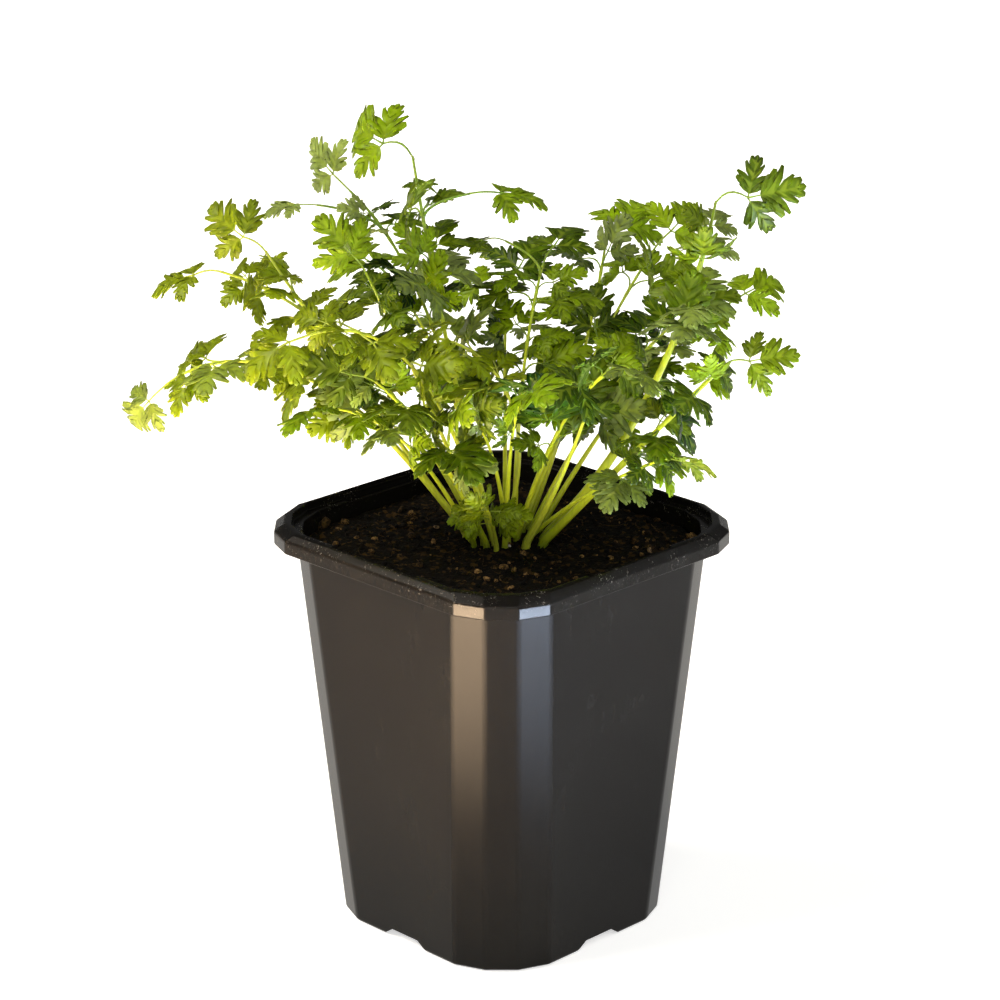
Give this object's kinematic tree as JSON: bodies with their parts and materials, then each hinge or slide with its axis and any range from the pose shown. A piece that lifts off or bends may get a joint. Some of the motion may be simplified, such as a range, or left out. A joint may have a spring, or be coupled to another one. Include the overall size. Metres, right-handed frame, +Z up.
{
  "type": "potted chervil",
  "caption": "Young chervil plant with arching leafy stems, growing in soil in a square tapered nursery pot with faceted corners and a rolled rim.",
  "frame": {"origin": "middle of the underside of the pot, on the surface that it stands on", "axes": "+Z up; the pot's flat sides face X and Y; the pictured front is the corner between +X and -Y"},
  "size_m": [0.1664, 0.1777, 0.2474],
  "materials": {
    "pot_plastic": "satin dark grey injection-moulded plastic, slightly dusty",
    "soil_earth": "damp dark potting soil with tan crumbs",
    "leaf_green": "soft mid-green leaf with a faint sheen",
    "leaf_lime": "soft yellow-green leaf and stem"
  },
  "bodies": {
    "root": {"frond_arch_over": "leaf_lime", "frond_back": "leaf_green", "frond_back_left": "leaf_green", "frond_back_right": "leaf_green", "frond_centre": "leaf_green", "frond_far_left": "leaf_lime", "frond_far_right": "leaf_green", "frond_front": "leaf_green", "frond_front_left": "leaf_green", "frond_left_high": "leaf_lime", "frond_left_light": "leaf_lime", "frond_left_mid": "leaf_green", "frond_lime_arch": "leaf_lime", "frond_low_left": "leaf_green", "frond_low_right": "leaf_green", "frond_right_back": "leaf_green", "frond_right_back_high": "leaf_green", "frond_right_front": "leaf_green", "frond_right_mid": "leaf_green", "frond_tall": "leaf_green", "frond_tall_right": "leaf_green", "frond_tall_small": "leaf_green", "frond_up_left": "leaf_green", "leaf_young": "leaf_green", "pot": "pot_plastic", "soil": "soil_earth", "stem_cut": "leaf_lime"}
  },
  "joints": []
}
